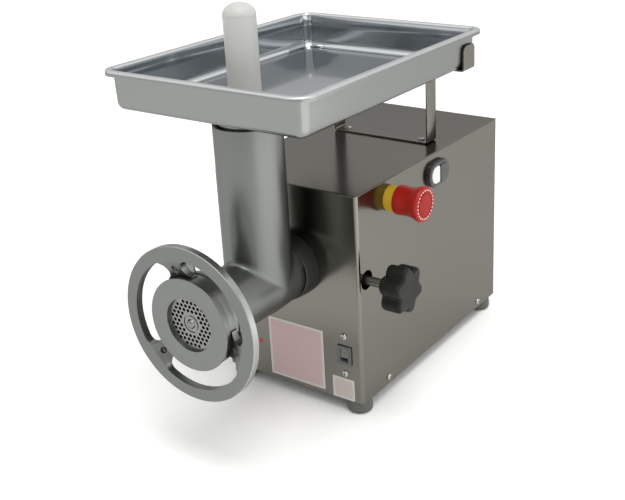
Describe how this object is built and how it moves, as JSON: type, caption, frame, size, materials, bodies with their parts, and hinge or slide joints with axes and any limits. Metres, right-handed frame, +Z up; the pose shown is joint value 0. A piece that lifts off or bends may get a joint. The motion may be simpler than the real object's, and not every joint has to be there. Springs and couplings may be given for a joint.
{
  "type": "electric meat grinder",
  "caption": "Bench-top electric meat grinder with stainless cabinet, feed tray and pusher, grinding head, handwheel ring nut and gear drive.",
  "frame": {"origin": "middle of the whole machine seen from above, on the surface that its feet stand on", "axes": "+Z up; -Y is the front, where minced meat comes out; +X is the side with the clamp knob and the buttons"},
  "size_m": [0.268, 0.5024, 0.4615],
  "materials": {
    "cabinet_steel": "brushed stainless sheet",
    "tray_steel": "satin outside, bright inside",
    "cast_steel": "satin machined casting",
    "wheel_aluminium": "satin cast",
    "machined_steel": "turned",
    "dark_steel": "blackened",
    "cast_aluminium": "as cast",
    "motor_paint": "semi-gloss paint",
    "capacitor_can": "drawn can",
    "black_rubber": "matte",
    "black_plastic": "satin moulded",
    "grey_plastic": "satin moulded",
    "red_plastic": "glossy",
    "yellow_plastic": "glossy",
    "white_plastic": "glossy",
    "pusher_plastic": "smooth food-grade plastic",
    "label_film": "printed film, left blank",
    "ivory_plastic": "moulded"
  },
  "bodies": {
    "machine": {"cabinet_shell": "cabinet_steel", "rear_cover": "cabinet_steel", "base_plate": "cabinet_steel", "foot_front_left": "black_rubber", "foot_front_right": "black_rubber", "foot_back_left": "black_rubber", "foot_back_right": "black_rubber", "case_screws": "machined_steel", "bracket_frame": "cabinet_steel", "tray_cradle": "cabinet_steel", "bracket_screws": "machined_steel", "large_label": "label_film", "small_label": "label_film", "pilot_lens": "red_plastic", "selector_frame": "black_plastic", "selector_screws": "machined_steel", "stop_collar": "yellow_plastic", "stop_contacts": "ivory_plastic", "button_housing": "black_plastic", "start_contacts": "ivory_plastic", "control_nuts": "machined_steel", "drive_socket": "cast_aluminium", "front_collar": "black_rubber", "gearbox_housing": "cast_aluminium", "gearbox_cover": "cast_aluminium", "gearbox_bolts": "machined_steel", "output_bearings": "machined_steel", "intermediate_bearings": "machined_steel", "oil_seal": "black_rubber", "motor_stator": "motor_paint", "motor_end_bell": "motor_paint", "motor_bearings": "machined_steel", "capacitor": "capacitor_can", "terminal_block": "ivory_plastic", "cable_gland": "black_plastic"},
    "output_drive": {"output_shaft": "machined_steel", "output_gear": "dark_steel"},
    "intermediate_drive": {"intermediate_shaft": "machined_steel", "intermediate_gear": "dark_steel"},
    "motor_drive": {"motor_shaft": "machined_steel", "motor_rotor": "dark_steel", "cooling_fan": "grey_plastic"},
    "head": {"head_body": "cast_steel"},
    "feed_screw": {"auger": "machined_steel", "knife": "machined_steel"},
    "plate": {"grinding_plate": "machined_steel"},
    "ring": {"ring_nut": "cast_steel", "handwheel": "wheel_aluminium", "wheel_clamps": "cast_steel", "wheel_screws": "dark_steel"},
    "tray": {"tray": "tray_steel"},
    "pusher": {"pusher": "pusher_plastic"},
    "clamp_pad": {"clamp_pad": "machined_steel"},
    "clamp_knob": {"clamp_screw": "machined_steel", "star_knob": "black_plastic"},
    "stop_plunger": {"stop_stem": "black_plastic"},
    "stop_mushroom": {"stop_head": "red_plastic"},
    "start_button": {"start_cap": "white_plastic"},
    "off_button": {"off_cap": "black_plastic"},
    "selector": {"selector_slider": "grey_plastic"}
  },
  "joints": [
    {"name": "head_slide", "type": "slide", "parent": "machine", "child": "head", "axis": [0, -1, 0], "range_m": [0, 0.055]},
    {"name": "tray_lift", "type": "slide", "parent": "head", "child": "tray", "axis": [0, 0, 1], "range_m": [0, 0.12]},
    {"name": "pusher_lift", "type": "slide", "parent": "head", "child": "pusher", "axis": [0, 0, 1], "range_m": [0, 0.2]},
    {"name": "plate_slide", "type": "slide", "parent": "head", "child": "plate", "axis": [0, -1, 0], "range_m": [0, 0.009]},
    {"name": "ring_nut_turn", "type": "hinge", "parent": "plate", "child": "ring", "pos_m": [-0.008, -0.23475, 0.1675], "axis": [0, -1, 0], "range_deg": [0, 1080]},
    {"name": "motor_spin", "type": "hinge", "parent": "machine", "child": "motor_drive", "pos_m": [-0.018, 0.06525, 0.0905], "axis": [0, -1, 0], "continuous": true},
    {"name": "intermediate_spin", "type": "hinge", "parent": "machine", "child": "intermediate_drive", "pos_m": [-0.05067, -0.02475, 0.12235], "axis": [0, -1, 0], "continuous": true},
    {"name": "output_spin", "type": "hinge", "parent": "machine", "child": "output_drive", "pos_m": [-0.008, -0.03475, 0.1675], "axis": [0, -1, 0], "continuous": true},
    {"name": "auger_spin", "type": "hinge", "parent": "head", "child": "feed_screw", "pos_m": [-0.008, -0.14475, 0.1675], "axis": [0, -1, 0], "continuous": true},
    {"name": "clamp_pad_slide", "type": "slide", "parent": "machine", "child": "clamp_pad", "axis": [1, 0, 0], "range_m": [0, 0.0045]},
    {"name": "knob_turn", "type": "hinge", "parent": "clamp_pad", "child": "clamp_knob", "pos_m": [0.092, -0.06975, 0.1615], "axis": [1, 0, 0], "range_deg": [0, 1080]},
    {"name": "stop_push", "type": "slide", "parent": "machine", "child": "stop_plunger", "axis": [-1, 0, 0], "range_m": [0, 0.004]},
    {"name": "stop_twist", "type": "hinge", "parent": "stop_plunger", "child": "stop_mushroom", "pos_m": [0.112, -0.02025, 0.2385], "axis": [1, 0, 0], "range_deg": [0, 45]},
    {"name": "start_push", "type": "slide", "parent": "machine", "child": "start_button", "axis": [-1, 0, 0], "range_m": [0, 0.0025], "stiffness_N_per_m": 400, "springref_m": -0.002},
    {"name": "off_push", "type": "slide", "parent": "machine", "child": "off_button", "axis": [-1, 0, 0], "range_m": [0, 0.0025], "stiffness_N_per_m": 400, "springref_m": -0.002},
    {"name": "selector_slide", "type": "slide", "parent": "machine", "child": "selector", "axis": [0, 0, -1], "range_m": [0, 0.004]}
  ],
  "couplings": [
    {"joint": "intermediate_spin", "follows": "motor_spin", "ratio": -0.30357},
    {"joint": "output_spin", "follows": "motor_spin", "ratio": 0.095569},
    {"joint": "auger_spin", "follows": "motor_spin", "ratio": 0.095569},
    {"joint": "plate_slide", "follows": "ring_nut_turn", "m_per_rad": 0.00047746},
    {"joint": "clamp_pad_slide", "follows": "knob_turn", "m_per_rad": 0.00023873}
  ]
}
